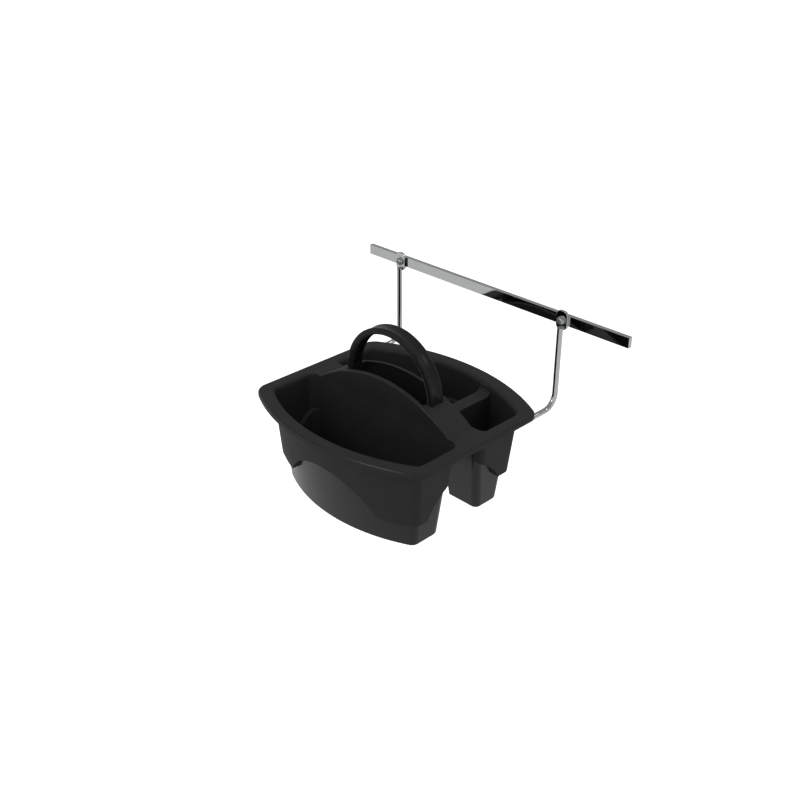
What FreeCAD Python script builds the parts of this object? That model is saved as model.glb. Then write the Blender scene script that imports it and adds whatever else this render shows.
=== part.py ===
import FreeCAD, Part
import math
import os
import Sketcher

V = FreeCAD.Vector
doc = FreeCAD.newDocument("tool_storage_caddy")
sheet = doc.addObject("Spreadsheet::Sheet", "Sizes")

# Frame: origin on the rail's back face, midway between the two hanger screws and at the rail's
# mid-height. +X is to the right seen from the front, +Y into the wall, +Z up. Millimetres.
SIZES = (
    ("rail_length", 450.0, "flat bar, end to end"),
    ("rail_height", 14.2, "flat bar, top edge to bottom edge"),
    ("rail_thickness", 6.0, "flat bar, wall face to front face"),
    ("rail_left_reach", 209.1, "rail's left end to the middle of the hangers"),
    ("arm_inset", 10.5, "caddy rim's end in to the axis of the arm and screw"),
    ("lug_width", 17.0, "lug plate across"),
    ("lug_height", 25.6, "lug plate up and down, centred on the rail"),
    ("lug_thickness", 3.5, "lug plate"),
    ("lug_corner", 6.5, "lug plate corner radius"),
    ("screw_diameter", 6.0, "M6 machine screw"),
    ("screw_hole_play", 0.4, "hole diameter over screw diameter"),
    ("screw_head_diameter", 10.5, "M6 button head"),
    ("screw_head_height", 3.3, "M6 button head"),
    ("screw_socket", 4.0, "hexagon socket across flats"),
    ("screw_socket_depth", 2.1, "hexagon socket"),
    ("screw_wall_reach", 5.4, "threaded end standing out behind the rail"),
    ("screw_thread_diameter", 5.35, "M6 thread as a plain end of its pitch diameter"),
    ("screw_end_chamfer", 0.7, "threaded end's point"),
    ("washer_diameter", 11.0, "M6 small plain washer"),
    ("washer_thickness", 1.6, "M6 small plain washer"),
    ("arm_diameter", 7.5, "round bar"),
    ("arm_forward", 11.0, "wall face to the upright's axis"),
    ("arm_weld_overlap", 3.0, "upright's end over the lug's lower edge"),
    ("arm_bend", 19.5, "bend radius on the bar's axis"),
    ("arm_end_y", 250.0, "wall face to the arm's free end"),
    ("arm_end_round", 1.2, "rounding of the free end"),
    ("seat_gap", 0.3, "arm top to the lip and ribs that rest on it"),
    ("rim_half_length", 153.4, "caddy rim, half its length"),
    ("rim_front_y", 307.4, "wall face to the rim's front crown"),
    ("rim_back_y", 14.8, "wall face to the rim's back crown"),
    ("rim_arc", 306.4, "bow of the rim's front edge"),
    ("rim_back_arc", 284.0, "bow of the rim's back edge"),
    ("rim_corner", 22.0, "rim corner radius"),
    ("rim_top_z", 109.6, "rail's mid-height down to the rim's top face"),
    ("lip_height", 7.4, "rim top face to the lip's lower edge"),
    ("lip_wall", 2.5, "turned-down lip"),
    ("deck_thickness", 2.5, "rim and deck plate"),
    ("rim_edge_round", 3.5, "rim's outer top edge"),
    ("mouth_round", 5.5, "bin mouths' top edge"),
    ("wall", 2.5, "bin walls and floors"),
    ("bin_depth", 130.4, "rim top face to the bins' underside"),
    ("skirt_depth", 92.6, "rim top face to the front skirt's low corners"),
    ("rear_skirt_depth", 86.1, "rim top face to the rear skirt's low corners"),
    ("skirt_inset_top", 17.0, "rim edge in to the skirt, at the deck"),
    ("skirt_inset_low", 24.6, "rim edge in to the skirt, at its low corners"),
    ("core_step", 7.0, "skirt standing proud of the lower walls, at the deck"),
    ("core_inset_low", 34.8, "rim edge in to the front bin's lower walls, at the underside"),
    ("rear_core_inset_low", 36.0, "rim edge in to the rear bins' lower walls, at the underside"),
    ("bin_corner", 12.0, "bins' outer corner radius at the bowed faces"),
    ("front_gap_corner", 13.0, "front bin's outer corner radius at the middle gap"),
    ("rear_gap_corner", 9.0, "rear bins' outer corner radius at the middle gap"),
    ("front_bin_arc", 286.0, "bow of the front bin, drawn out to the rim's edge"),
    ("front_bow_out", 0.6, "front bow standing out further than the front bin's sides"),
    ("rear_bin_arc", 280.0, "bow of the rear bins, drawn out to the rim's edge"),
    ("rear_bow_top", 3.1, "rear bow set in further than the rear bins' sides, at the deck"),
    ("rear_bow_low", 7.4, "rear bow set in further than the rear bins' sides, at the underside"),
    ("floor_round", 4.0, "bins' lower edge"),
    ("arch_front_rise", 44.5, "skirt's edge in mid front over its low corners"),
    ("arch_front_r", 94.5, "arch of the skirt's edge, front and back"),
    ("arch_side_rise", 46.5, "skirt's edge in mid side over its low corners"),
    ("arch_side_r", 70.0, "arch of the skirt's edge, sides"),
    ("arch_side_y", 165.0, "wall face to the middle of the side arch"),
    ("skirt_ease", 0.4, "skirt kept clear of the gap walls' faces"),
    ("hump_front_y", 186.0, "wall face to the hump's front panel"),
    ("hump_back_y", 143.0, "wall face to the hump's back panel"),
    ("hump_rise", 38.4, "hump's crown over the deck"),
    ("hump_arc", 200.0, "arch of the hump"),
    ("hump_edge_round", 1.2, "hump's arched edges"),
    ("front_bin_lean", 13.7, "front bin's back wall, deck to underside"),
    ("rear_bin_lean", 17.0, "rear bins' front wall, deck to underside"),
    ("slot_half_length", 70.0, "hand slot in the hump, half its length"),
    ("slot_border", 5.0, "hump edge left along the hand slot"),
    ("slot_corner", 1.2, "hand slot's corner radius"),
    ("divider_drop", 13.4, "rim top face to the divider's top"),
    ("divider_left", 44.0, "caddy middle to the divider's left face"),
    ("divider_width", 20.0, "divider's top"),
    ("divider_lean", 9.0, "each divider wall, top to underside"),
    ("divider_gusset", 10.0, "hollow round from the divider's top up to the back wall"),
    ("handle_outer_r", 77.8, "handle arch, outer face"),
    ("handle_thickness", 8.7, "handle arch, radial"),
    ("handle_width", 21.0, "handle arch, front to back"),
    ("handle_centre_z", 86.5, "rail's mid-height down to the arch's centre"),
    ("handle_y", 162.5, "wall face to the handle's middle plane"),
    ("handle_dip", 8.0, "degrees each leg runs on below the arch's centre"),
    ("handle_channel_r", 24.0, "shallow hollow along the handle's outer face"),
    ("handle_channel_depth", 1.2, "shallow hollow along the handle's outer face"),
    ("handle_core_arc", 168.0, "degrees of the arch that are cored out from inside"),
    ("handle_core_width", 12.0, "cored-out groove along the handle's inner face"),
    ("handle_core_depth", 4.0, "cored-out groove along the handle's inner face"),
    ("handle_edge_round", 2.0, "handle's long edges"),
    ("rib_thickness", 3.0, "seat ribs under the rim"),
)
for row, (alias, value, note) in enumerate(SIZES, start=1):
    sheet.set("A%d" % row, note)
    sheet.set("B%d" % row, str(value))
    sheet.setAlias("B%d" % row, alias)
doc.recompute()


def size(alias):
    """A size in millimetres, or degrees for handle_dip and handle_core_arc, from the sheet."""
    return float(sheet.get(alias))


def bind(obj, **expressions):
    """Tie an object's properties to the sheet; double underscores stand for dots."""
    for prop, text in expressions.items():
        obj.setExpression(prop.replace("__", "."), text)
    return obj


def bind_base(obj, x="0", y="0", z="0"):
    """Tie an object's position to the sheet."""
    return bind(obj, Placement__Base__x=x, Placement__Base__y=y, Placement__Base__z=z)


def along_y(obj):
    """Turn a primitive made along +Z to run along -Y."""
    obj.Placement = FreeCAD.Placement(V(0, 0, 0), FreeCAD.Rotation(V(1, 0, 0), 90))
    return obj


def cylinder_y(name, radius, length, y, x="0", z="0"):
    """A cylinder along -Y that starts at y, all given as sheet expressions."""
    obj = along_y(doc.addObject("Part::Cylinder", name))
    bind(obj, Radius=radius, Height=length)
    return bind_base(obj, x, y, z)


def new_body(name):
    """An empty body."""
    body = doc.addObject("PartDesign::Body", name)
    body.Label = name
    return body


def new_sketch(body, name, role):
    """A sketch on one of the body's own origin planes."""
    sketch = body.newObject("Sketcher::SketchObject", name)
    plane = next(f for f in body.Origin.OriginFeatures if f.Role == role)
    sketch.AttachmentSupport = [(plane, "")]
    sketch.MapMode = "FlatFace"
    return sketch


def dimension(sketch, expression, *constraint):
    """Add a dimension to a sketch and tie it to the sheet."""
    index = sketch.addConstraint(Sketcher.Constraint(*constraint))
    sketch.setExpression("Constraints[%d]" % index, expression)


def rectangle(sketch, low, high):
    """Four lines round a rectangle, joined and squared; returns the first line's index."""
    (x0, y0), (x1, y1) = low, high
    corners = (V(x0, y0, 0), V(x1, y0, 0), V(x1, y1, 0), V(x0, y1, 0))
    first = sketch.GeometryCount
    for i in range(4):
        sketch.addGeometry(Part.LineSegment(corners[i], corners[(i + 1) % 4]), False)
    for i in range(4):
        sketch.addConstraint(Sketcher.Constraint("Coincident", first + i, 2, first + (i + 1) % 4, 1))
        kind = "Horizontal" if i % 2 == 0 else "Vertical"
        sketch.addConstraint(Sketcher.Constraint(kind, first + i))
    return first


def edge_names(shape, wanted):
    """Names of the edges that a test picks out."""
    return ["Edge%d" % (i + 1) for i, edge in enumerate(shape.Edges) if wanted(edge)]


def rounded(body, base, names, radius):
    """A fillet feature on named edges of a body's feature."""
    feature = body.newObject("PartDesign::Fillet", body.Name + "_round")
    feature.Base = (base, names)
    feature.setExpression("Radius", radius)
    body.Tip = feature
    doc.recompute()
    return feature


finished = []


def finish(obj, label):
    """Mark an object as one of the assembly's pieces."""
    obj.Label = label
    finished.append(obj)
    return obj


HOLE_R = "(Sizes.screw_diameter + Sizes.screw_hole_play) / 2"
SIDES = (("left", "-Sizes.rim_half_length + Sizes.arm_inset"),
         ("right", "Sizes.rim_half_length - Sizes.arm_inset"))


def make_rail():
    """Flat bar with one screw hole for each hanger."""
    bar = doc.addObject("Part::Box", "rail_bar")
    bind(bar, Length="Sizes.rail_length", Width="Sizes.rail_thickness", Height="Sizes.rail_height")
    bind_base(bar, "-Sizes.rail_left_reach", "-Sizes.rail_thickness", "-Sizes.rail_height / 2")
    holes = doc.addObject("Part::MultiFuse", "rail_holes")
    holes.Shapes = [cylinder_y("rail_hole_" + side, HOLE_R, "3 * Sizes.rail_thickness",
                               "Sizes.rail_thickness", x) for side, x in SIDES]
    rail = doc.addObject("Part::Cut", "rail_solid")
    rail.Base, rail.Tool = bar, holes
    return finish(rail, "rail")


def make_lug(side, x):
    """Round-cornered plate on the rail's front face, with its screw hole."""
    body = new_body(side + "_lug_body")
    half_w, half_h = size("lug_width") / 2, size("lug_height") / 2
    outline = new_sketch(body, side + "_lug_outline", "XZ_Plane")
    first = rectangle(outline, (-half_w, -half_h), (half_w, half_h))
    outline.addConstraint(Sketcher.Constraint("Symmetric", first, 1, first + 1, 2, -1, 1))
    dimension(outline, "Sizes.lug_width", "DistanceX", first, 1, first, 2, 2 * half_w)
    dimension(outline, "Sizes.lug_height", "DistanceY", first + 1, 1, first + 1, 2, 2 * half_h)
    pad = body.newObject("PartDesign::Pad", side + "_lug_pad")
    pad.Profile = outline
    pad.setExpression("Length", "Sizes.lug_thickness")
    hole = new_sketch(body, side + "_lug_hole", "XZ_Plane")
    radius = (size("screw_diameter") + size("screw_hole_play")) / 2
    hole.addGeometry(Part.Circle(V(0, 0, 0), V(0, 0, 1), radius), False)
    hole.addConstraint(Sketcher.Constraint("Coincident", 0, 3, -1, 1))
    dimension(hole, HOLE_R, "Radius", 0, radius)
    cut = body.newObject("PartDesign::Pocket", side + "_lug_cut")
    cut.Profile = hole
    cut.Type = "ThroughAll"
    cut.Midplane = True
    doc.recompute()
    corners = edge_names(cut.Shape, lambda e: isinstance(e.Curve, Part.Line)
                         and abs(e.tangentAt(e.FirstParameter).y) > 0.99)
    rounded(body, cut, corners, "Sizes.lug_corner")
    bind_base(body, x, "-Sizes.rail_thickness")
    return finish(body, side + "_lug")


def make_washer(side, x):
    """Plain washer on the lug's front face."""
    seat = "-Sizes.rail_thickness - Sizes.lug_thickness"
    disc = cylinder_y(side + "_washer_disc", "Sizes.washer_diameter / 2", "Sizes.washer_thickness", seat, x)
    bore = cylinder_y(side + "_washer_bore", HOLE_R, "3 * Sizes.washer_thickness",
                      seat + " + Sizes.washer_thickness", x)
    washer = doc.addObject("Part::Cut", side + "_washer_solid")
    washer.Base, washer.Tool = disc, bore
    return finish(washer, side + "_washer")


def make_screw(side, x):
    """Button-head screw: domed head, hexagon socket and a plain shank for its thread."""
    head_r, head_h = size("screw_head_diameter") / 2, size("screw_head_height")
    flat_r = head_r / 2
    back = (head_r ** 2 - flat_r ** 2 - head_h ** 2) / (2 * head_h)
    seat = "-Sizes.rail_thickness - Sizes.lug_thickness - Sizes.washer_thickness"
    dome = doc.addObject("Part::Sphere", side + "_screw_dome")
    dome.Radius = math.hypot(head_r, back)
    bind_base(dome, x, "%s + %.6f" % (seat, back))
    stub = cylinder_y(side + "_screw_stub", "Sizes.screw_head_diameter / 2",
                      "Sizes.screw_head_height", seat, x)
    head = doc.addObject("Part::MultiCommon", side + "_screw_head")
    head.Shapes = [dome, stub]
    grip = "Sizes.rail_thickness + Sizes.lug_thickness + Sizes.washer_thickness"
    shank = cylinder_y(side + "_screw_shank", "Sizes.screw_diameter / 2",
                       grip + " + Sizes.screw_head_height / 3", "0", x)
    thread = cylinder_y(side + "_screw_thread", "Sizes.screw_thread_diameter / 2",
                        "Sizes.screw_wall_reach - Sizes.screw_end_chamfer + Sizes.rail_thickness / 2",
                        "Sizes.screw_wall_reach - Sizes.screw_end_chamfer", x)
    point = along_y(doc.addObject("Part::Cone", side + "_screw_point"))
    bind(point, Radius1="Sizes.screw_thread_diameter / 2 - Sizes.screw_end_chamfer",
         Radius2="Sizes.screw_thread_diameter / 2", Height="Sizes.screw_end_chamfer")
    bind_base(point, x, "Sizes.screw_wall_reach")
    blank = doc.addObject("Part::MultiFuse", side + "_screw_blank")
    blank.Shapes = [head, shank, thread, point]
    socket = along_y(doc.addObject("Part::Prism", side + "_screw_socket"))
    socket.Polygon = 6
    bind(socket, Circumradius="Sizes.screw_socket / sqrt(3)", Height="2 * Sizes.screw_socket_depth")
    bind_base(socket, x, seat + " - Sizes.screw_head_height + Sizes.screw_socket_depth")
    screw = doc.addObject("Part::Cut", side + "_screw_solid")
    screw.Base, screw.Tool = blank, socket
    return finish(screw, side + "_screw")


ARM_TOP = "-Sizes.lug_height / 2 + Sizes.arm_weld_overlap"
ARM_RUN = "-Sizes.rim_top_z - Sizes.lip_height - Sizes.seat_gap - Sizes.arm_diameter / 2"


def make_arm(side, x):
    """Bent round bar: upright, bend and forward run, its end flattened against the lug."""
    radius, bend = size("arm_diameter") / 2, size("arm_bend")
    top = -size("lug_height") / 2 + size("arm_weld_overlap")
    run = -size("rim_top_z") - size("lip_height") - size("seat_gap") - radius
    reach = size("arm_end_y") - size("arm_forward")
    body = new_body(side + "_arm_body")
    spine = new_sketch(body, side + "_arm_line", "YZ_Plane")
    spine.addGeometry(Part.LineSegment(V(0, top, 0), V(0, run + bend, 0)), False)
    spine.addGeometry(Part.ArcOfCircle(Part.Circle(V(-bend, run + bend, 0), V(0, 0, 1), bend),
                                       1.5 * math.pi, 2 * math.pi), False)
    spine.addGeometry(Part.LineSegment(V(-bend, run, 0), V(-reach, run, 0)), False)
    spine.addConstraint(Sketcher.Constraint("Vertical", 0))
    spine.addConstraint(Sketcher.Constraint("PointOnObject", 0, 1, -2))
    spine.addConstraint(Sketcher.Constraint("Tangent", 0, 2, 1, 2))
    spine.addConstraint(Sketcher.Constraint("Tangent", 1, 1, 2, 1))
    spine.addConstraint(Sketcher.Constraint("Horizontal", 2))
    dimension(spine, "Sizes.arm_bend", "Radius", 1, bend)
    dimension(spine, ARM_TOP, "DistanceY", -1, 1, 0, 1, top)
    dimension(spine, ARM_RUN, "DistanceY", -1, 1, 2, 2, run)
    dimension(spine, "Sizes.arm_end_y - Sizes.arm_forward", "DistanceX", 2, 2, -1, 1, reach)
    section = new_sketch(body, side + "_arm_section", "XY_Plane")
    section.addGeometry(Part.Circle(V(0, 0, 0), V(0, 0, 1), radius), False)
    section.addConstraint(Sketcher.Constraint("Coincident", 0, 3, -1, 1))
    dimension(section, "Sizes.arm_diameter / 2", "Radius", 0, radius)
    section.setExpression("AttachmentOffset.Base.z", ARM_TOP)
    doc.recompute()
    bar = body.newObject("PartDesign::AdditivePipe", side + "_arm_bar")
    bar.Profile = section
    bar.Spine = (spine, ["Edge1", "Edge2", "Edge3"])
    doc.recompute()
    flat = new_sketch(body, side + "_arm_flat", "YZ_Plane")
    front = size("arm_forward") - size("rail_thickness") - size("lug_thickness")
    low = -size("lug_height") / 2
    first = rectangle(flat, (front, low), (front + 4 * radius, top + 2 * radius))
    dimension(flat, "Sizes.arm_forward - Sizes.rail_thickness - Sizes.lug_thickness",
              "DistanceX", -1, 1, first, 1, front)
    dimension(flat, "-Sizes.lug_height / 2", "DistanceY", -1, 1, first, 1, low)
    dimension(flat, "2 * Sizes.arm_diameter", "DistanceX", first, 1, first, 2, 4 * radius)
    dimension(flat, "2 * Sizes.arm_diameter", "DistanceY", first + 1, 1, first + 1, 2, 4 * radius)
    seat = body.newObject("PartDesign::Pocket", side + "_arm_seat")
    seat.Profile = flat
    seat.Type = "ThroughAll"
    seat.Midplane = True
    doc.recompute()
    end = edge_names(seat.Shape, lambda e: isinstance(e.Curve, Part.Circle)
                     and abs(e.Curve.Center.y + reach) < 0.01)
    rounded(body, seat, end, "Sizes.arm_end_round")
    bind_base(body, x, "-Sizes.arm_forward")
    return finish(body, side + "_arm")


def turned_cut(body, sketch, name, angle):
    """A groove turned about the handle's axis, half of its angle to each side of the crown."""
    cut = body.newObject("PartDesign::Groove", name)
    cut.Profile = sketch
    cut.ReferenceAxis = (sketch, ["H_Axis"])
    cut.Midplane = True
    cut.setExpression("Angle", angle)
    doc.recompute()
    return cut


def make_handle():
    """Carrying arch with a shallow hollow along its outer face and a cored-out inner face."""
    body = new_body("carry_handle_body")
    outer, thick, width = size("handle_outer_r"), size("handle_thickness"), size("handle_width")
    section = new_sketch(body, "handle_section", "YZ_Plane")
    first = rectangle(section, (-width / 2, outer - thick), (width / 2, outer))
    dimension(section, "Sizes.handle_width", "DistanceX", first, 1, first, 2, width)
    dimension(section, "Sizes.handle_width / 2", "DistanceX", -1, 1, first, 2, width / 2)
    dimension(section, "Sizes.handle_thickness", "DistanceY", first + 1, 1, first + 1, 2, thick)
    dimension(section, "Sizes.handle_outer_r", "DistanceY", -1, 1, first + 2, 1, outer)
    arch = body.newObject("PartDesign::Revolution", "handle_arch")
    arch.Profile = section
    arch.ReferenceAxis = (section, ["H_Axis"])
    arch.Midplane = True
    arch.setExpression("Angle", "180 + 2 * Sizes.handle_dip")
    hollow = new_sketch(body, "handle_hollow", "YZ_Plane")
    radius = size("handle_channel_r")
    centre = outer + radius - size("handle_channel_depth")
    hollow.addGeometry(Part.Circle(V(0, centre, 0), V(0, 0, 1), radius), False)
    hollow.addConstraint(Sketcher.Constraint("PointOnObject", 0, 3, -2))
    dimension(hollow, "Sizes.handle_channel_r", "Radius", 0, radius)
    dimension(hollow, "Sizes.handle_outer_r + Sizes.handle_channel_r - Sizes.handle_channel_depth",
              "DistanceY", -1, 1, 0, 3, centre)
    channel = turned_cut(body, hollow, "handle_channel", "180 + 2 * Sizes.handle_dip + 1")
    edges = edge_names(channel.Shape, lambda e: isinstance(e.Curve, Part.Circle)
                       and abs(abs(e.Curve.Center.y) - width / 2) < 0.01 and e.Curve.Radius > thick)
    rounded(body, channel, edges, "Sizes.handle_edge_round")
    core_width, core_depth = size("handle_core_width"), size("handle_core_depth")
    inside = outer - thick - core_depth
    cored = new_sketch(body, "handle_coring", "YZ_Plane")
    first = rectangle(cored, (-core_width / 2, inside), (core_width / 2, outer - thick + core_depth))
    dimension(cored, "Sizes.handle_core_width", "DistanceX", first, 1, first, 2, core_width)
    dimension(cored, "Sizes.handle_core_width / 2", "DistanceX", -1, 1, first, 2, core_width / 2)
    dimension(cored, "2 * Sizes.handle_core_depth", "DistanceY", first + 1, 1, first + 1, 2, 2 * core_depth)
    dimension(cored, "Sizes.handle_outer_r - Sizes.handle_thickness + Sizes.handle_core_depth",
              "DistanceY", -1, 1, first + 2, 1, outer - thick + core_depth)
    body.Tip = turned_cut(body, cored, "handle_core", "Sizes.handle_core_arc")
    bind_base(body, "0", "-Sizes.handle_y", "-Sizes.handle_centre_z")
    return finish(body, "carry_handle")


TOP = -size("rim_top_z")
FLOOR = TOP - size("bin_depth")
SKIRT_LOW = TOP - size("skirt_depth")
MID_Y = -(size("rim_front_y") + size("rim_back_y")) / 2
ROOT = TOP - size("deck_thickness") / 2


def corner(half, arc_y, arc_r, r):
    """Ends and middle of the round between a side at X = half and a front arc about (0, arc_y)."""
    cx, reach = half - r, arc_r - r
    cy = arc_y - math.sqrt(reach ** 2 - cx ** 2)
    ux, uy = cx / reach, (cy - arc_y) / reach
    bx, by = 1 + ux, uy
    scale = r / math.hypot(bx, by)
    return (half, cy), (cx + bx * scale, cy + by * scale), (ux * arc_r, arc_y + uy * arc_r)


def wire(z, runs):
    """Closed wire at height z from points: two for a line, three for an arc."""
    edges = []
    for run in runs:
        points = [V(px, py, z) for px, py in run]
        edges.append(Part.makeLine(*points) if len(points) == 2 else Part.Arc(*points).toShape())
    return Part.Wire(edges)


def flip(point):
    """The same point on the caddy's left half."""
    return -point[0], point[1]


def back(point):
    """The same point on the caddy's rear half."""
    return point[0], 2 * MID_Y - point[1]


def rim_half(inset, rear):
    """Right side's round and the crown of the rim's front edge, or of its back edge turned to the front."""
    half, arc = size("rim_half_length") - inset, size("rim_back_arc") if rear else size("rim_arc")
    arc_y = -size("rim_front_y") + arc
    side, mid, bow = corner(half, arc_y, arc - inset, size("rim_corner") - inset)
    return side, mid, bow, (0.0, arc_y - arc + inset)


def rim_wire(inset, z):
    """Outline of the whole caddy, a given distance inside the rim's edge."""
    side, mid, bow, crown = rim_half(inset, False)
    back_side, back_mid, back_bow, back_crown = [back(point) for point in rim_half(inset, True)]
    return wire(z, ((flip(bow), crown, bow), (bow, mid, side), (side, back_side),
                    (back_side, back_mid, back_bow), (back_bow, back_crown, flip(back_bow)),
                    (flip(back_bow), flip(back_mid), flip(back_side)),
                    (flip(back_side), flip(side)), (flip(side), flip(mid), flip(bow))))


def bow_extra(z, rear):
    """How much further in than the sides the bowed face stands, at a height."""
    if not rear:
        return -size("front_bow_out")
    share = (TOP - z) / size("bin_depth")
    return size("rear_bow_top") + (size("rear_bow_low") - size("rear_bow_top")) * share


def bin_wire(inset, straight_y, z, rear, cut=0.0):
    """Outline of the front bin, or of the rear bins mirrored: bowed face, sides and straight wall."""
    half, deep = size("rim_half_length") - inset, inset + bow_extra(z, rear)
    arc = size("rear_bin_arc") if rear else size("front_bin_arc")
    arc_y, arc_r = -size("rim_front_y") + arc, arc - deep
    side, mid, bow = corner(half, arc_y, arc_r, size("bin_corner") - cut)
    r = (size("rear_gap_corner") if rear else size("front_gap_corner")) - cut
    straight = 2 * MID_Y - straight_y if rear else straight_y
    near, far = (half, straight - r), (half - r, straight)
    turn = (half - r * (1 - math.sqrt(0.5)), straight - r * (1 - math.sqrt(0.5)))
    crown = (0.0, arc_y - arc_r)
    runs = ((flip(bow), crown, bow), (bow, mid, side), (side, near), (near, turn, far), (far, flip(far)),
            (flip(far), flip(turn), flip(near)), (flip(near), flip(side)), (flip(side), flip(mid), flip(bow)))
    if rear:
        runs = tuple(tuple(back(point) for point in run) for run in runs)
    return wire(z, runs)


def prism(outline, z0, z1):
    """Straight solid from an outline at z0 up to z1."""
    return Part.Face(outline).extrude(V(0, 0, z1 - z0))


def loft(*wires):
    """Solid with straight flanks through outlines at several heights."""
    return Part.makeLoft(list(wires), True, True)


def block(x0, x1, y0, y1, z0, z1):
    """Box between two corners."""
    return Part.makeBox(x1 - x0, y1 - y0, z1 - z0, V(x0, y0, z0))


def tube_x(radius, z):
    """Cylinder across the caddy's whole length at the side arches' middle."""
    half = size("rim_half_length")
    return Part.makeCylinder(radius, 4 * half, V(-2 * half, -size("arch_side_y"), z), V(1, 0, 0))


def tube_y(radius, z, y0, y1):
    """Cylinder from front to back at the caddy's middle."""
    return Part.makeCylinder(radius, y1 - y0, V(0, y0, z), V(0, 1, 0))


def bin_inset(z, low_z, top_inset, low_inset):
    """Inset of a leaning wall at a height, straight from the deck down to low_z."""
    share = (TOP - z) / (TOP - low_z)
    return top_inset + (low_inset - top_inset) * share


def straight_at(z, rear):
    """Outer face of the wall along the middle gap, at a height."""
    share = (TOP - z) / size("bin_depth")
    if rear:
        return -size("hump_back_y") - size("wall") + share * size("rear_bin_lean")
    return -size("hump_front_y") + size("wall") - share * size("front_bin_lean")


def flank(z0, z1, low_z, top_inset, low_inset, rear, cut=0.0, ease=0.0):
    """Leaning solid of one bin between two heights; cut takes it in by the wall for a cavity."""
    shift = cut + ease if rear else -cut - ease
    wires = [bin_wire(bin_inset(z, low_z, top_inset, low_inset) + cut, straight_at(z, rear) + shift,
                      z, rear, cut) for z in (z1, z0)]
    return loft(*wires)


def arches(grow):
    """What lies below the skirt's arched lower edge, moved up by grow."""
    far = 2 * size("rim_front_y")
    front_r, side_r = size("arch_front_r"), size("arch_side_r")
    front = tube_y(front_r + grow, SKIRT_LOW + size("arch_front_rise") - front_r, -far, far)
    side = tube_x(side_r + grow, SKIRT_LOW + size("arch_side_rise") - side_r)
    return front, side


def mouth(rear):
    """Rounded flare of a bin's mouth at the deck, none along the hump."""
    r, steps = size("mouth_round"), 4
    inset = size("skirt_inset_top") + size("wall")
    wires = []
    for i in range(steps + 1):
        angle = math.pi / 2 * i / steps
        z = TOP - r + r * math.sin(angle)
        grow = r * (1 - math.cos(angle))
        shift = size("wall") if rear else -size("wall")
        wires.append(bin_wire(inset - grow, straight_at(z, rear) + shift, z, rear, size("wall") - grow))
    flare = loft(*wires)
    over = prism(wires[-1], TOP, TOP + size("deck_thickness"))
    return flare.fuse(over)


def bin_parts(rear):
    """Outer solid of a bin, and what is cut out of it."""
    wall = size("wall")
    skirt_top, skirt_low = size("skirt_inset_top"), size("skirt_inset_low")
    core_top = skirt_top + size("core_step")
    core_low = size("rear_core_inset_low") if rear else size("core_inset_low")
    ease = size("skirt_ease")
    low = TOP - size("rear_skirt_depth") if rear else SKIRT_LOW
    skirt = flank(low, ROOT, SKIRT_LOW, skirt_top, skirt_low, rear, 0.0, ease)
    for cutter in arches(0.0):
        skirt = skirt.cut(cutter)
    core = flank(FLOOR, ROOT, FLOOR, core_top, core_low, rear)
    lower = [e for e in core.Edges if all(abs(v.Z - FLOOR) < 1e-6 for v in e.Vertexes)]
    core = core.makeFillet(size("floor_round"), lower)
    upper = flank(low + wall, TOP, SKIRT_LOW, skirt_top, skirt_low, rear, wall, ease)
    for cutter in arches(wall):
        upper = upper.cut(cutter)
    inner = flank(FLOOR + wall, TOP, FLOOR, core_top, core_low, rear, wall)
    return skirt.fuse(core), [upper, inner, mouth(rear)]


def divider(grow):
    """Leaning block between the large rear bin and the pocket; grow thins it to its hollow."""
    left, width, lean = size("divider_left"), size("divider_width"), size("divider_lean")
    top = TOP - size("divider_drop") + grow
    low = FLOOR - 1.0
    share = lean / (TOP - size("divider_drop") - FLOOR)
    extra = share * (top - low)
    points = ((left - grow, top), (left + width + grow, top),
              (left + width + grow + extra, low), (left - grow - extra, low))
    y0, y1 = -size("hump_back_y") - 2 * size("wall"), 0.0
    edges = [V(px, y0, pz) for px, pz in points]
    return Part.Face(Part.makePolygon(edges + edges[:1])).extrude(V(0, y1 - y0, 0))


def back_wall_y(x, z):
    """Inner face of the rear bins' back wall, at a place along the caddy and a height."""
    inset = bin_inset(z, SKIRT_LOW, size("skirt_inset_top"), size("skirt_inset_low")) + size("wall")
    arc = size("rear_bin_arc")
    arc_r = arc - inset - bow_extra(z, True)
    return 2 * MID_Y + size("rim_front_y") - arc + math.sqrt(arc_r ** 2 - x ** 2)


def gusset():
    """Hollow round that carries the divider's top up to the back wall."""
    left, width, r = size("divider_left"), size("divider_width"), size("divider_gusset")
    z = TOP - size("divider_drop")
    y = back_wall_y(left + width / 2, z)
    bend = r * (1 - math.sqrt(0.5))
    low, high, deep = V(left, y - r, z), V(left, y, z + r), size("wall")
    ends = V(left, y + deep, z), V(left, y + deep, z + r)
    edges = [Part.Arc(high, V(left, y - bend, z + bend), low).toShape()]
    edges += [Part.makeLine(a, b) for a, b in ((low, ends[0]), ends, (ends[1], high))]
    return Part.Face(Part.Wire(edges)).extrude(V(width, 0, 0))


def make_hump():
    """Arched block between the bins, before it is hollowed from below."""
    arc = size("hump_arc")
    z = TOP + size("hump_rise") - arc
    y0, y1 = -size("hump_front_y"), -size("hump_back_y")
    shell = tube_y(arc, z, y0, y1).common(block(-arc, arc, y0, y1, ROOT, TOP + arc))
    rims = [e for e in shell.Edges if isinstance(e.Curve, Part.Circle)]
    return shell.makeFillet(size("hump_edge_round"), rims)


def hump_hollow():
    """Space under the hump's skin, down through the deck."""
    arc, wall = size("hump_arc"), size("wall")
    z = TOP + size("hump_rise") - arc
    y0, y1 = -size("hump_front_y") + wall, -size("hump_back_y") - wall
    low = TOP - 2 * size("deck_thickness")
    return tube_y(arc - wall, z, y0, y1).common(block(-arc, arc, y0, y1, low, TOP + arc))


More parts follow.
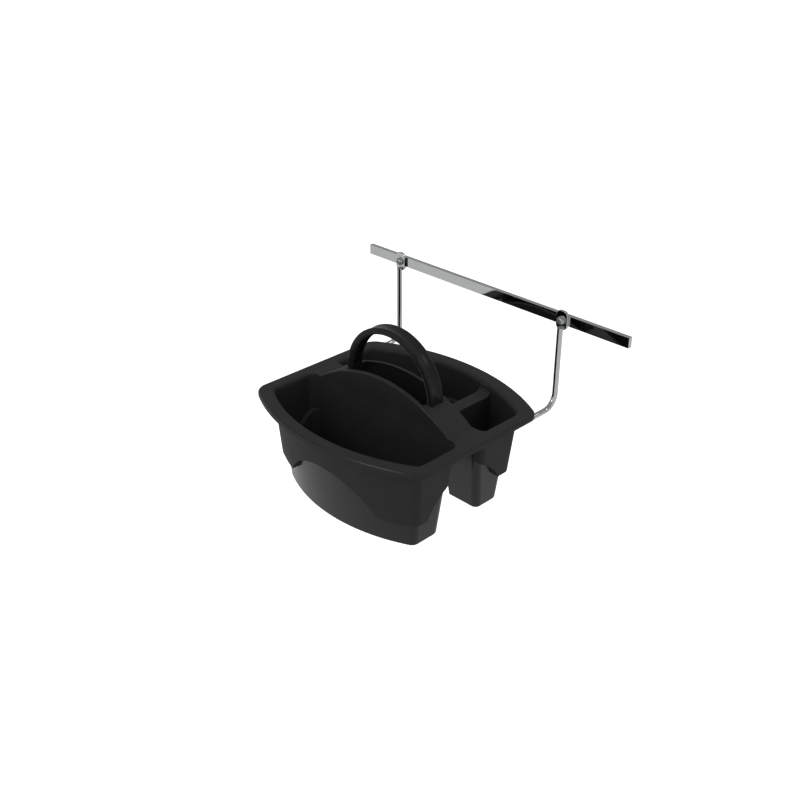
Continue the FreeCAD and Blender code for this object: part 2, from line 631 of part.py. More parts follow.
def hand_slot():
    """Opening through the hump's skin under the handle."""
    half, border = size("slot_half_length"), size("slot_border")
    slot = block(-half, half, -size("hump_front_y") + border, -size("hump_back_y") - border,
                 TOP, TOP + 2 * size("hump_rise"))
    upright = [e for e in slot.Edges if abs(e.tangentAt(e.FirstParameter).z) > 0.99]
    return slot.makeFillet(size("slot_corner"), upright)


def seat_ribs():
    """Ribs between skirt and lip that rest on the arms, two at each end of each side."""
    half, t = size("rim_half_length"), size("rib_thickness")
    x0, x1 = half - size("skirt_inset_top") - size("wall") / 2, half - size("lip_wall") / 2
    z0, z1 = TOP - size("lip_height"), ROOT
    ribs = []
    for away in (45.0, 80.0):
        for y in (MID_Y - away, MID_Y + away):
            for a, b in ((x0, x1), (-x1, -x0)):
                ribs.append(block(a, b, y - t / 2, y + t / 2, z0, z1))
    return ribs


def make_tub(handle):
    """The caddy's one moulding: rim, deck, bins, pocket, divider and hump."""
    low = TOP - size("lip_height")
    rim = prism(rim_wire(0.0, low), low, TOP)
    edge = [e for e in rim.Edges if all(abs(v.Z - TOP) < 1e-6 for v in e.Vertexes)]
    rim = rim.makeFillet(size("rim_edge_round"), edge)
    under = prism(rim_wire(size("lip_wall"), low), low, TOP - size("deck_thickness"))
    tub = rim.cut(under)
    front, front_cuts = bin_parts(False)
    rear, rear_cuts = bin_parts(True)
    tub = tub.fuse([front, rear, make_hump()] + seat_ribs())
    solid_divider, hollow = divider(0.0).fuse(gusset()), divider(-size("wall"))
    for cutter in front_cuts:
        tub = tub.cut(cutter)
    for cutter in rear_cuts:
        tub = tub.cut(cutter.cut(solid_divider))
    tub = tub.cut(hollow).cut(hump_hollow()).cut(hand_slot())
    tub = tub.cut(handle.Shape).removeSplitter()
    piece = doc.addObject("Part::Feature", "caddy_tub_solid")
    piece.Shape = tub
    return finish(piece, "caddy_tub")


make_rail()
for side, x in SIDES:
    make_lug(side, x)
    make_arm(side, x)
    make_washer(side, x)
    make_screw(side, x)
handle = make_handle()
doc.recompute()
make_tub(handle)
doc.recompute()

for obj in doc.Objects:
    if "Invalid" in obj.State or "Error" in obj.State:
        raise RuntimeError("%s did not build: %s" % (obj.Label, obj.State))
os.makedirs("parts", exist_ok=True)
for obj in finished:
    shape = obj.Shape
    if shape.isNull() or not shape.isValid() or len(shape.Solids) != 1:
        raise RuntimeError("%s is not one valid solid (%d)" % (obj.Label, len(shape.Solids)))
    box = shape.BoundBox
    print("%-14s %9.1f mm3  x %7.1f %7.1f  y %7.1f %7.1f  z %7.1f %7.1f" % (
        obj.Label, shape.Volume, box.XMin, box.XMax, box.YMin, box.YMax, box.ZMin, box.ZMax))
    shape.exportStep("parts/%s.step" % obj.Label)
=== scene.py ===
"""The tool storage caddy in its finished look: chrome hanger, plated screws, black moulded caddy."""

import logging
import math
from collections import defaultdict
from dataclasses import dataclass
from enum import Enum
from typing import Any, Iterable, Mapping

import bmesh
import bpy
from mathutils import Matrix, Vector


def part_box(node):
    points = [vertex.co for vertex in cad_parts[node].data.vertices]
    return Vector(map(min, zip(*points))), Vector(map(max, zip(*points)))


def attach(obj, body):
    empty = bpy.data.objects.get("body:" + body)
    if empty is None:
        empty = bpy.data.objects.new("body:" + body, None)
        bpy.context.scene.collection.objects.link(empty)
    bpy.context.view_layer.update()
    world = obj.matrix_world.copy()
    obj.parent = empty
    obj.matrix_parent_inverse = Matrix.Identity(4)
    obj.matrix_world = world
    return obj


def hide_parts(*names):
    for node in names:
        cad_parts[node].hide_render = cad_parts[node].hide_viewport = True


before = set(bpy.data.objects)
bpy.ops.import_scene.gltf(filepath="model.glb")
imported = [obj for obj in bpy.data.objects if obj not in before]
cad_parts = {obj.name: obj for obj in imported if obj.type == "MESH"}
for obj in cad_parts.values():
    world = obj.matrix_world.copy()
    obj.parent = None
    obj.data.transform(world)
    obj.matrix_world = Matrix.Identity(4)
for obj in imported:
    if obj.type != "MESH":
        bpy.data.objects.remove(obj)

LOG = logging.getLogger("caddy")
MM = 0.001
MERGE_DISTANCE = 0.001 * MM
FLAT_ANGLE = math.radians(0.05)
HOLLOW_SLOPE = 0.02
ROUND_PROFILE = 0.5
FLAT_FACE_WEIGHT = 100
NOISE_SPAN = (0.3, 0.7)


class Body(Enum):
    """The bodies that pieces ride on."""

    HANGER = "hanger"
    CADDY = "caddy"


class Slot(Enum):
    """The record's material slots."""

    CHROME = "chrome"
    ZINC = "zinc"
    BLACK_PLASTIC = "black_plastic"


class Side(Enum):
    """The two hangers, as seen from the front."""

    LEFT = "left"
    RIGHT = "right"


def linear(hex_colour: str) -> tuple[float, float, float, float]:
    """Turn an sRGB hex colour into the linear colour that shaders take.

    Args:
        hex_colour: Six hex digits after a hash sign.

    Returns:
        Red, green, blue and an alpha of one.
    """
    parts = [int(hex_colour[i:i + 2], 16) / 255 for i in (1, 3, 5)]
    red, green, blue = [p / 12.92 if p <= 0.04045 else ((p + 0.055) / 1.055) ** 2.4 for p in parts]
    return red, green, blue, 1.0


def per_metre(size_mm: float) -> float:
    """A texture's scale for a pattern of this size, as Object coordinates are in metres."""
    return 1 / (size_mm * MM)


def add_node(tree: bpy.types.NodeTree, kind: str, inputs: Mapping[Any, Any] | None = None,
             **settings: Any) -> bpy.types.Node:
    """Add a node with its settings, socket values and links.

    Args:
        tree: The node tree to add to.
        kind: The node's type name.
        inputs: Socket name or number to a value, or to the output socket that feeds it.
        settings: Properties of the node itself.

    Returns:
        The new node.
    """
    node = tree.nodes.new(kind)
    for name, value in settings.items():
        setattr(node, name, value)
    for socket, value in (inputs or {}).items():
        if isinstance(value, bpy.types.NodeSocket):
            tree.links.new(value, node.inputs[socket])
        else:
            node.inputs[socket].default_value = value
    return node


def new_material(name: str) -> tuple[bpy.types.Material, bpy.types.NodeTree, bpy.types.NodeSocket]:
    """Start a material with an empty node tree.

    Args:
        name: The material's name.

    Returns:
        The material, its node tree and the Object coordinates.
    """
    material = bpy.data.materials.new(name)
    material.use_nodes = True
    tree = material.node_tree
    tree.nodes.clear()
    return material, tree, add_node(tree, "ShaderNodeTexCoord").outputs["Object"]


def end_material(tree: bpy.types.NodeTree, shader: bpy.types.NodeSocket) -> None:
    """Link a shader to the material's output."""
    add_node(tree, "ShaderNodeOutputMaterial", {"Surface": shader})


@dataclass(frozen=True)
class Noise:
    """A cloudy pattern: the size of its patches, its finer layers and how strong each is on the last."""

    size_mm: float
    layers: float
    layer_strength: float = 0.5

    def draw(self, tree: bpy.types.NodeTree, coords: bpy.types.NodeSocket) -> bpy.types.NodeSocket:
        """Add the pattern to a material.

        Args:
            tree: The material's node tree.
            coords: Object coordinates.

        Returns:
            The pattern's strength, most of which lies inside NOISE_SPAN.
        """
        node = add_node(tree, "ShaderNodeTexNoise", {
            "Vector": coords, "Scale": per_metre(self.size_mm), "Detail": self.layers,
            "Roughness": self.layer_strength})
        return node.outputs["Fac"]


def blend_colours(tree: bpy.types.NodeTree, pattern: bpy.types.NodeSocket, low: str,
                  high: str) -> bpy.types.NodeSocket:
    """Go from one colour to another as a pattern grows stronger.

    Args:
        tree: The material's node tree.
        pattern: The pattern's strength.
        low: Hex colour where the pattern is weak.
        high: Hex colour where it is strong.

    Returns:
        The colour.
    """
    node = add_node(tree, "ShaderNodeMix", {"Factor": pattern, "A": linear(low), "B": linear(high)},
                    data_type="RGBA")
    return node.outputs["Result"]


def blend_roughness(tree: bpy.types.NodeTree, pattern: bpy.types.NodeSocket,
                    span: tuple[float, float]) -> bpy.types.NodeSocket:
    """Go from one roughness to another as a pattern grows stronger.

    Args:
        tree: The material's node tree.
        pattern: The pattern's strength.
        span: Roughness where the pattern is weak, and where it is strong.

    Returns:
        The roughness.
    """
    node = add_node(tree, "ShaderNodeMapRange", {
        "Value": pattern, "From Min": NOISE_SPAN[0], "From Max": NOISE_SPAN[1],
        "To Min": span[0], "To Max": span[1]})
    return node.outputs["Result"]


def raise_bumps(tree: bpy.types.NodeTree, pattern: bpy.types.NodeSocket,
                height_mm: float) -> bpy.types.NodeSocket:
    """Let a pattern tilt the surface's light.

    Args:
        tree: The material's node tree.
        pattern: The pattern's strength.
        height_mm: Height from its weakest to its strongest.

    Returns:
        The surface direction.
    """
    node = add_node(tree, "ShaderNodeBump", {"Height": pattern, "Distance": height_mm * MM})
    return node.outputs["Normal"]


@dataclass(frozen=True)
class ChromePlate:
    """Bright chrome on polished steel bar: a dark neutral mirror, softened only by polishing haze."""

    name: str = "chrome_plate_on_polished_steel"
    bright: str = "#C8CACA"
    dull: str = "#BFC1C1"
    roughness: tuple[float, float] = (0.02, 0.05)
    haze: Noise = Noise(14.0, 5.0, 0.6)
    ripple: Noise = Noise(9.0, 1.0)
    ripple_height_mm: float = 0.0003

    def material(self) -> bpy.types.Material:
        """Build the chrome: cloudy haze in colour and roughness, and a faint ripple of the bar.

        Returns:
            The material.
        """
        material, tree, coords = new_material(self.name)
        # The plating mirrors the room darkly. Haze dulls the mirror in patches, and the ripple left by
        # drawing the bar bends its images a little.
        haze = self.haze.draw(tree, coords)
        ripple = self.ripple.draw(tree, coords)
        shader = add_node(tree, "ShaderNodeBsdfPrincipled", {
            "Base Color": blend_colours(tree, haze, self.dull, self.bright),
            "Roughness": blend_roughness(tree, haze, self.roughness),
            "Normal": raise_bumps(tree, ripple, self.ripple_height_mm), "Metallic": 1.0})
        end_material(tree, shader.outputs["BSDF"])
        return material


@dataclass(frozen=True)
class ZincPlate:
    """Bright zinc on a turned steel fastener: a paler, softer mirror with a fine mottle."""

    name: str = "bright_zinc_plate_on_turned_steel"
    bright: str = "#B4B5B6"
    dull: str = "#9FA0A2"
    roughness: tuple[float, float] = (0.3, 0.4)
    mottle: Noise = Noise(1.1, 4.0, 0.65)

    def material(self) -> bpy.types.Material:
        """Build the zinc: a mottle in colour and roughness.

        Returns:
            The material.
        """
        material, tree, coords = new_material(self.name)
        # Crystals in the zinc blur the mirror, so a screw head shows as a soft grey dome. They are drawn
        # coarser than they are, as they would be too fine to show.
        mottle = self.mottle.draw(tree, coords)
        shader = add_node(tree, "ShaderNodeBsdfPrincipled", {
            "Base Color": blend_colours(tree, mottle, self.dull, self.bright),
            "Roughness": blend_roughness(tree, mottle, self.roughness), "Metallic": 1.0})
        end_material(tree, shader.outputs["BSDF"])
        return material


@dataclass(frozen=True)
class MouldedPolypropylene:
    """Black polypropylene as its mould left it: dull and grained if eroded, with a sheen if polished."""

    name: str
    deep: str
    pale: str
    roughness: tuple[float, float]
    specular: float
    grain_height_mm: float
    grain: Noise = Noise(0.9, 2.0)
    clouds: Noise = Noise(38.0, 4.0, 0.55)

    def material(self) -> bpy.types.Material:
        """Build the plastic: flow clouds in colour and gloss, and the mould's grain as bump.

        Returns:
            The material.
        """
        material, tree, coords = new_material(self.name)
        # Melt flow leaves faint clouds of shade and gloss, and the grain spreads each highlight. The
        # grain is drawn coarser than an eroded mould's, which would be too fine to show.
        clouds = self.clouds.draw(tree, coords)
        grain = self.grain.draw(tree, coords)
        shader = add_node(tree, "ShaderNodeBsdfPrincipled", {
            "Base Color": blend_colours(tree, clouds, self.deep, self.pale),
            "Roughness": blend_roughness(tree, clouds, self.roughness),
            "Normal": raise_bumps(tree, grain, self.grain_height_mm), "Specular IOR Level": self.specular})
        end_material(tree, shader.outputs["BSDF"])
        return material


# Most of the tub: dull, so that its walls and bins show as soft dark greys.
ERODED = MouldedPolypropylene(
    "polypropylene_from_eroded_mould", deep="#202020", pale="#262626",
    roughness=(0.56, 0.66), specular=0.22, grain_height_mm=0.02)
# The lower walls and the front edges: a clear sheen, so that each edge carries a thin light line.
POLISHED = MouldedPolypropylene(
    "polypropylene_from_polished_mould", deep="#1D1D1D", pale="#212121",
    roughness=(0.18, 0.24), specular=0.3, grain_height_mm=0.002)
# The carrying arch: deeper black, with one soft highlight along it.
SATIN = MouldedPolypropylene(
    "polypropylene_from_satin_mould", deep="#181818", pale="#1B1B1B",
    roughness=(0.24, 0.3), specular=0.15, grain_height_mm=0.006)
# The hollow under the arch: a darker colour with next to no sheen, painted shade so that it stays the
# darkest place.
PAINTED_SHADE_FINISH = MouldedPolypropylene(
    "polypropylene_with_painted_shade", deep="#161616", pale="#1A1A1A",
    roughness=(0.75, 0.85), specular=0.06, grain_height_mm=0.01)


def merged_copy(node: str) -> bmesh.types.BMesh:
    """Copy a node's mesh, merged and with its flat faces made whole.

    Args:
        node: The node to copy.

    Returns:
        The copy, ready to shape.
    """
    bm = bmesh.new()
    bm.from_mesh(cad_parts[node].data)
    bmesh.ops.remove_doubles(bm, verts=bm.verts, dist=MERGE_DISTANCE)
    bmesh.ops.dissolve_limit(bm, angle_limit=FLAT_ANGLE, verts=bm.verts, edges=bm.edges)
    return bm


def round_edges(bm: bmesh.types.BMesh, radius: float, segments: int = 3,
                sharper_than: float = math.radians(50)) -> None:
    """Round every edge that is sharper than an angle.

    Args:
        bm: The mesh.
        radius: Width of the rounding along each face.
        segments: Steps in the rounding.
        sharper_than: Least angle between an edge's two faces.
    """
    edges = [e for e in bm.edges if e.is_manifold and e.calc_face_angle() > sharper_than]
    bmesh.ops.bevel(bm, geom=edges, offset=radius, segments=segments, profile=ROUND_PROFILE,
                    affect="EDGES", material=-1, clamp_overlap=True)


def make_piece(bm: bmesh.types.BMesh, name: str, body: Body, slot: Slot, node: str,
               material: bpy.types.Material, smooth_below: float = math.radians(40)) -> bpy.types.Object:
    """Turn a finished mesh into a piece that stands for a node.

    Args:
        bm: The mesh, which is freed.
        name: The piece's name.
        body: The body that it rides on.
        slot: The record's slot for its finish.
        node: The node that it replaces.
        material: Its finish.
        smooth_below: Edges flatter than this are shaded smooth.

    Returns:
        The piece.
    """
    mesh = bpy.data.meshes.new(name)
    bm.to_mesh(mesh)
    bm.free()
    mesh.shade_smooth()
    mesh.set_sharp_from_angle(angle=smooth_below)
    mesh.materials.append(material)
    piece = place(mesh, body, slot, node)
    even = piece.modifiers.new("flat_faces_stay_flat", "WEIGHTED_NORMAL")
    even.mode, even.weight, even.keep_sharp = "FACE_AREA", FLAT_FACE_WEIGHT, True
    return piece


def place(mesh: bpy.types.Mesh, body: Body, slot: Slot, node: str) -> bpy.types.Object:
    """Make the object that stands for a node.

    Args:
        mesh: Its mesh, whose name it takes.
        body: The body that it rides on.
        slot: The record's slot for its finish; not used.
        node: The node that it replaces.

    Returns:
        The object.
    """
    piece = bpy.data.objects.new(mesh.name, mesh)
    bpy.context.scene.collection.objects.link(piece)
    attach(piece, body.value)
    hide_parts(node)
    return piece


def smooth_patch(mesh: bpy.types.Mesh, start: Iterable[int], limit: float) -> set[int]:
    """Find the faces reached from some faces over flat or gently rounded outer edges.

    Args:
        mesh: The mesh.
        start: Numbers of the faces to start from.
        limit: Sharpest angle that is crossed.

    Returns:
        Numbers of the faces found, with those at the start.
    """
    numbers: dict[tuple[int, ...], int] = {}
    spots = [tuple(round(c / MERGE_DISTANCE) for c in v.co) for v in mesh.vertices]
    corner = [numbers.setdefault(spot, len(numbers)) for spot in spots]
    beside = defaultdict(list)
    for face in mesh.polygons:
        for a, b in face.edge_keys:
            beside[frozenset((corner[a], corner[b]))].append(face.index)
    found = set(start)
    queue = list(found)
    while queue:
        face = mesh.polygons[queue.pop()]
        for a, b in face.edge_keys:
            for number in beside[frozenset((corner[a], corner[b]))]:
                other = mesh.polygons[number]
                step = other.center - face.center
                hollow = step.dot(face.normal) > HOLLOW_SLOPE * step.length
                if number not in found and not hollow and face.normal.angle(other.normal, 0.0) < limit:
                    found.add(number)
                    queue.append(number)
    return found


def dress_node(node: str, material: bpy.types.Material) -> bpy.types.Object:
    """Give a node that stays its finish.

    Args:
        node: The node.
        material: Its finish.

    Returns:
        The node's object.
    """
    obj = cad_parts[node]
    for socket in obj.material_slots:
        socket.link = "OBJECT"
        socket.material = material
    return obj


@dataclass
class Rail:
    """The flat bar that holds both hangers on the wall."""

    finish: bpy.types.Material
    edge_round: float = 0.7 * MM

    def build(self) -> list[bpy.types.Object]:
        """Round the bar's edges and its screw holes' rims.

        Returns:
            The rail, as a list of one.
        """
        bm = merged_copy("rail")
        round_edges(bm, self.edge_round)
        return [make_piece(bm, "flat_bar_rail", Body.HANGER, Slot.CHROME, "rail", self.finish)]


@dataclass(frozen=True)
class BarRing:
    """One ring of a swept bar: its middle, its outward direction, its radius and whether it is cut flat."""

    centre: Vector
    out: Vector
    radius: float
    flat: bool = False


@dataclass
class Hanger:
    """One hanger: lug plate, bent arm, washer and button-head screw."""

    side: Side
    chrome: bpy.types.Material
    zinc: bpy.types.Material
    lug_edge_round: float = 0.5 * MM
    washer_edge_round: float = 0.25 * MM
    screw_edge_round: float = 0.15 * MM
    arm_bend: float = 19.5 * MM
    arm_end_round: float = 1.2 * MM
    arm_bend_steps: int = 40
    arm_end_steps: int = 4
    arm_sides: int = 48
    arm_flat_step: float = 0.02 * MM
    thread_inner: float = 2.4 * MM
    thread_outer: float = 2.95 * MM
    thread_pitch: float = 1.0 * MM
    thread_flank: float = 0.45 * MM
    thread_turns: int = 4
    thread_steps: int = 24

    def node(self, piece: str) -> str:
        """The node name of one of this hanger's pieces."""
        return f"{self.side.value}_{piece}"

    def piece(self, bm: bmesh.types.BMesh, name: str, slot: Slot, node: str,
              material: bpy.types.Material) -> bpy.types.Object:
        """Make one of this hanger's pieces, with the side put before its name and its node."""
        return make_piece(bm, self.node(name), Body.HANGER, slot, self.node(node), material)

    def build(self) -> list[bpy.types.Object]:
        """Build the hanger's four pieces."""
        return [self.build_lug(), self.build_washer(), self.build_screw(), self.build_arm()]

    def build_lug(self) -> bpy.types.Object:
        """Round the lug plate's edges.

        Returns:
            The lug.
        """
        bm = merged_copy(self.node("lug"))
        round_edges(bm, self.lug_edge_round)
        return self.piece(bm, "hanger_lug", Slot.CHROME, "lug", self.chrome)

    def build_washer(self) -> bpy.types.Object:
        """Round the washer's punched edges.

        Returns:
            The washer.
        """
        bm = merged_copy(self.node("washer"))
        round_edges(bm, self.washer_edge_round)
        return self.piece(bm, "plain_washer", Slot.ZINC, "washer", self.zinc)

    def build_arm(self) -> bpy.types.Object:
        """Sweep the bar round its bend finely enough to mirror without facets, with its flat at the lug.

        Returns:
            The arm.
        """
        lug_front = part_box(self.node("lug"))[0].y
        bm = bmesh.new()
        loops = []
        for ring in self.arm_rings():
            loop = []
            for side in range(self.arm_sides):
                angle = 2 * math.pi * side / self.arm_sides
                spoke = math.cos(angle) * Vector((1, 0, 0)) + math.sin(angle) * ring.out
                point = ring.centre + ring.radius * spoke
                point.y = min(point.y, lug_front) if ring.flat else point.y
                loop.append(bm.verts.new(point))
            loops.append(loop)
        for first, second in zip(loops, loops[1:]):
            for side in range(self.arm_sides):
                after = (side + 1) % self.arm_sides
                bm.faces.new((first[side], first[after], second[after], second[side]))
        bm.faces.new(loops[0])
        bm.faces.new(loops[-1])
        bmesh.ops.recalc_face_normals(bm, faces=bm.faces)
        return self.piece(bm, "bent_arm", Slot.CHROME, "arm", self.chrome)

    def arm_rings(self) -> list[BarRing]:
        """Set out the bar's rings from its top, round the bend, to its rounded free end.

        Returns:
            The rings in order.
        """
        low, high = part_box(self.node("arm"))
        lug_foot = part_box(self.node("lug"))[0].z
        x, radius = (low.x + high.x) / 2, (high.x - low.x) / 2
        upright_y, run_z = high.y - radius, low.z + radius
        back, down = Vector((0, 1, 0)), Vector((0, 0, -1))
        rings = [BarRing(Vector((x, upright_y, high.z)), back, radius, flat=True),
                 BarRing(Vector((x, upright_y, lug_foot)), back, radius, flat=True),
                 BarRing(Vector((x, upright_y, lug_foot - self.arm_flat_step)), back, radius)]
        bend_middle = Vector((x, upright_y - self.arm_bend, run_z + self.arm_bend))
        for step in range(self.arm_bend_steps + 1):
            angle = math.pi / 2 * step / self.arm_bend_steps
            out = Vector((0, math.cos(angle), -math.sin(angle)))
            rings.append(BarRing(bend_middle + self.arm_bend * out, out, radius))
        for step in range(self.arm_end_steps + 1):
            angle = math.pi / 2 * step / self.arm_end_steps
            shrink = self.arm_end_round * (1 - math.cos(angle))
            y = low.y + self.arm_end_round * (1 - math.sin(angle))
            rings.append(BarRing(Vector((x, y, run_z)), down, radius - shrink))
        return rings

    def build_screw(self) -> bpy.types.Object:
        """Round the head's and socket's edges and run a thread round the plain end.

        Returns:
            The screw.
        """
        bm = merged_copy(self.node("screw"))
        round_edges(bm, self.screw_edge_round, segments=2)
        self.add_thread(bm)
        return self.piece(bm, "button_screw", Slot.ZINC, "screw", self.zinc)

    def add_thread(self, bm: bmesh.types.BMesh) -> None:
        """Wind the thread's ridge round the end that stands behind the rail.

        Args:
            bm: The screw's mesh, which gains the ridge.
        """
        low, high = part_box(self.node("screw"))
        middle = (low + high) / 2
        flank = self.thread_flank
        points = ((self.thread_inner, -flank), (self.thread_outer, 0.0), (self.thread_inner, flank))
        start = Vector((middle.x, flank, middle.z))
        ridge = bm.faces.new([bm.verts.new(start + Vector((r, y, 0))) for r, y in points])
        bmesh.ops.spin(bm, geom=[ridge], cent=start, axis=Vector((0, 1, 0)),
                       dvec=Vector((0, self.thread_pitch / self.thread_steps, 0)),
                       angle=2 * math.pi * self.thread_turns,
                       steps=self.thread_turns * self.thread_steps)
        bmesh.ops.recalc_face_normals(bm, faces=bm.faces)


@dataclass
class Caddy:
    """The moulded tub and its carrying arch."""

    eroded: bpy.types.Material
    polished: bpy.types.Material
    satin: bpy.types.Material
    # Painted shade: a darker, duller black for the hollow under the handle.
    painted_shade: bpy.types.Material
    floor_depth: float = 0.2 * MM
    floor_facing: float = -0.99
    crossing: float = math.radians(40)
    deck_z: float = -109.6 * MM
    deck_round: float = 3.5 * MM
    hump_front_y: float = -184.8 * MM
    hump_back_y: float = -144.2 * MM
    lining_upright: float = 0.7
    lining_roof: float = -0.3
    rim_edge_rise: tuple[float, float] = (0.2, 0.92)
    hump_edge_rise: tuple[float, float] = (0.2, 0.84)
    edge_front_facing: float = -0.3

    def build(self) -> list[bpy.types.Object]:
        """Dress the tub and the arch."""
        return [self.build_tub(), dress_node("carry_handle", self.satin)]

    def build_tub(self) -> bpy.types.Object:
        """Give each of the tub's faces the finish that its part of the mould left, and paint the hollow
        under the handle darker as painted shade.

        Returns:
            The tub.
        """
        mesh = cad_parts["caddy_tub"].data.copy()
        mesh.name = "moulded_tub"
        mesh.materials.clear()
        finishes = [self.eroded, self.polished, self.painted_shade]
        for material in finishes:
            mesh.materials.append(material)
        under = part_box("caddy_tub")[0].z + self.floor_depth
        floors = [f.index for f in mesh.polygons if f.center.z < under and f.normal.z < self.floor_facing]
        lower_walls = smooth_patch(mesh, floors, self.crossing)
        for face in mesh.polygons:
            finish = self.eroded
            # The hollow under the handle gets painted shade: a darker, duller black.
            if self.inside_hump(face):
                finish = self.painted_shade
            elif face.index in lower_walls or self.on_front_edge(face):
                finish = self.polished
            face.material_index = finishes.index(finish)
        LOG.info("lower walls: %d of %d faces", len(lower_walls), len(mesh.polygons))
        return place(mesh, Body.CADDY, Slot.BLACK_PLASTIC, "caddy_tub")

    def inside_hump(self, face: bpy.types.MeshPolygon) -> bool:
        """Whether a face lines the hollow under the handle, which is painted darker as painted shade.

        Args:
            face: A face of the tub.

        Returns:
            True where it does.
        """
        _, y, z = face.center
        lining = abs(face.normal.y) > self.lining_upright or face.normal.z < self.lining_roof
        return lining and self.hump_front_y < y < self.hump_back_y and z > self.deck_z

    def on_front_edge(self, face: bpy.types.MeshPolygon) -> bool:
        """Whether a face is on the rounded front edge of the rim or hump, which handling has smoothed.

        Args:
            face: A face of the tub.

        Returns:
            True where it is.
        """
        x, y, z = face.center
        middle_y = (self.hump_front_y + self.hump_back_y) / 2
        outward = x * face.normal.x + (y - middle_y) * face.normal.y
        if outward <= 0 or face.normal.y >= self.edge_front_facing:
            return False
        if z > self.deck_z:
            least, most = self.hump_edge_rise
            placed = y < self.hump_front_y
        else:
            least, most = self.rim_edge_rise
            placed = self.deck_z - self.deck_round < z < self.deck_z
        return placed and least < face.normal.z < most


@dataclass(frozen=True)
class Lamp:
    """One soft square lamp: where it hangs, how wide it is, its power and whether metal mirrors it."""

    name: str
    place: tuple[float, float, float]
    width: float
    watts: float
    mirrored: bool


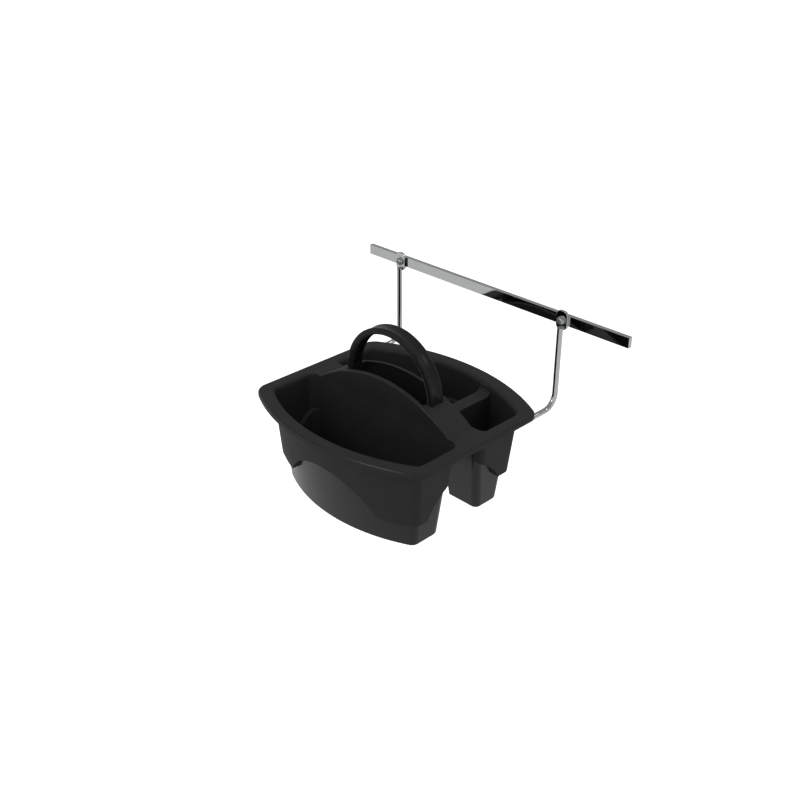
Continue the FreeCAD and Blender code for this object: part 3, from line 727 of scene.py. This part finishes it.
@dataclass
class Studio:
    """The stage: floor far below the hung caddy, soft light all round, and the camera."""

    camera_at: tuple[float, float, float] = (0.85495, -0.99625, 0.54009)
    camera_turn_deg: tuple[float, float, float] = (61.439, 0.0, 45.336)
    lens_mm: float = 47.358
    floor_z: float = -1.0
    floor_half: float = 30.0
    floor_paint: str = "#E4E4E4"
    floor_lift: float = 0.7
    room_light: float = 0.79
    mirrored_near: float = 0.9
    mirrored_far: float = 0.45
    far_side: tuple[float, float, float] = (-0.35, 0.35, 0.87)
    far_blend: tuple[float, float] = (-0.1, 0.25)
    lamps: tuple[Lamp, ...] = (
        Lamp("front_lamp", (-0.3, -2.2, 1.5), 0.9, 9.5, True),
        Lamp("top_lamp", (0.0, -0.15, 2.0), 0.9, 18.0, False),
        Lamp("back_lamp", (1.1, 1.35, 1.4), 0.4, 3.0, True))
    lit_point: tuple[float, float, float] = (0.0, -0.16, -0.15)

    def build(self) -> None:
        """Set up the view, floor, world and lamps."""
        bpy.context.scene.view_settings.view_transform = "Standard"
        self.add_camera()
        self.add_floor()
        self.add_world()
        for lamp in self.lamps:
            self.add_lamp(lamp)

    def add_camera(self) -> None:
        """Stand the camera where the photograph was taken from."""
        data = bpy.data.cameras.new("camera")
        data.lens = self.lens_mm
        camera = bpy.data.objects.new("camera", data)
        camera.location = self.camera_at
        camera.rotation_euler = [math.radians(a) for a in self.camera_turn_deg]
        bpy.context.scene.collection.objects.link(camera)
        bpy.context.scene.camera = camera

    def add_floor(self) -> None:
        """Lay the pale floor, which shows white to the camera wherever no shadow falls."""
        bm = bmesh.new()
        bmesh.ops.create_grid(bm, x_segments=1, y_segments=1, size=self.floor_half,
                              matrix=Matrix.Translation((0, 0, self.floor_z)))
        mesh = bpy.data.meshes.new("floor")
        bm.to_mesh(mesh)
        bm.free()
        floor = bpy.data.objects.new("floor", mesh)
        floor.visible_glossy = False
        bpy.context.scene.collection.objects.link(floor)
        mesh.materials.append(self.floor_material())

    def floor_material(self) -> bpy.types.Material:
        """Build the floor's plain paint, lifted to white for the camera alone.

        Returns:
            The material.
        """
        material, tree, _ = new_material("pale_painted_floor")
        # The floor has no pattern, as the photograph's ground is one even white.
        path = add_node(tree, "ShaderNodeLightPath")
        paint = add_node(tree, "ShaderNodeBsdfDiffuse", {"Color": linear(self.floor_paint)})
        lift = add_node(tree, "ShaderNodeMath", {0: path.outputs["Is Camera Ray"], 1: self.floor_lift},
                        operation="MULTIPLY")
        glow = add_node(tree, "ShaderNodeEmission", {"Strength": lift.outputs["Value"]})
        both = add_node(tree, "ShaderNodeAddShader", {0: paint.outputs["BSDF"], 1: glow.outputs["Emission"]})
        end_material(tree, both.outputs["Shader"])
        return material

    def add_world(self) -> None:
        """Light the object from a soft white surround, which metal sees dimmer overhead and behind."""
        world = bpy.data.worlds.new("studio")
        bpy.context.scene.world = world
        world.use_nodes = True
        tree = world.node_tree
        tree.nodes.clear()
        path = add_node(tree, "ShaderNodeLightPath")
        direction = add_node(tree, "ShaderNodeTexCoord")
        far = add_node(tree, "ShaderNodeVectorMath", {0: direction.outputs["Generated"], 1: self.far_side},
                       operation="DOT_PRODUCT")
        mirrored = add_node(tree, "ShaderNodeMapRange", {
            "Value": far.outputs["Value"], "From Min": self.far_blend[0], "From Max": self.far_blend[1],
            "To Min": self.mirrored_near, "To Max": self.mirrored_far})
        level = add_node(tree, "ShaderNodeMix", {
            "Factor": path.outputs["Is Glossy Ray"], "A": self.room_light, "B": mirrored.outputs["Result"]},
            data_type="FLOAT")
        seen = add_node(tree, "ShaderNodeMix", {
            "Factor": path.outputs["Is Camera Ray"], "A": level.outputs["Result"], "B": 1.0},
            data_type="FLOAT")
        glow = add_node(tree, "ShaderNodeBackground", {"Strength": seen.outputs["Result"]})
        add_node(tree, "ShaderNodeOutputWorld", {"Surface": glow.outputs["Background"]})

    def add_lamp(self, lamp: Lamp) -> None:
        """Hang one soft lamp, turned towards the caddy.

        Args:
            lamp: The lamp to hang.
        """
        data = bpy.data.lights.new(lamp.name, "AREA")
        data.energy = lamp.watts
        data.size = lamp.width
        light = bpy.data.objects.new(lamp.name, data)
        light.location = lamp.place
        light.visible_glossy = lamp.mirrored
        towards = Vector(self.lit_point) - Vector(lamp.place)
        light.rotation_euler = towards.to_track_quat("-Z", "Y").to_euler()
        bpy.context.scene.collection.objects.link(light)


def main() -> None:
    """Build every piece in order and report it."""
    logging.basicConfig(level=logging.INFO, format="%(message)s")
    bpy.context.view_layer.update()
    chrome = ChromePlate().material()
    zinc = ZincPlate().material()
    # The last of these finishes is painted shade for the hollow under the handle.
    eroded, polished, satin, painted_shade = [finish.material() for finish in (ERODED, POLISHED, SATIN, PAINTED_SHADE_FINISH)]
    pieces = Rail(chrome).build()
    for side in Side:
        pieces += Hanger(side, chrome, zinc).build()
    pieces += Caddy(eroded, polished, satin, painted_shade).build()
    for piece in pieces:
        LOG.info("%s: %d faces", piece.name, len(piece.data.polygons))
    Studio().build()


if __name__ == "__main__":
    main()
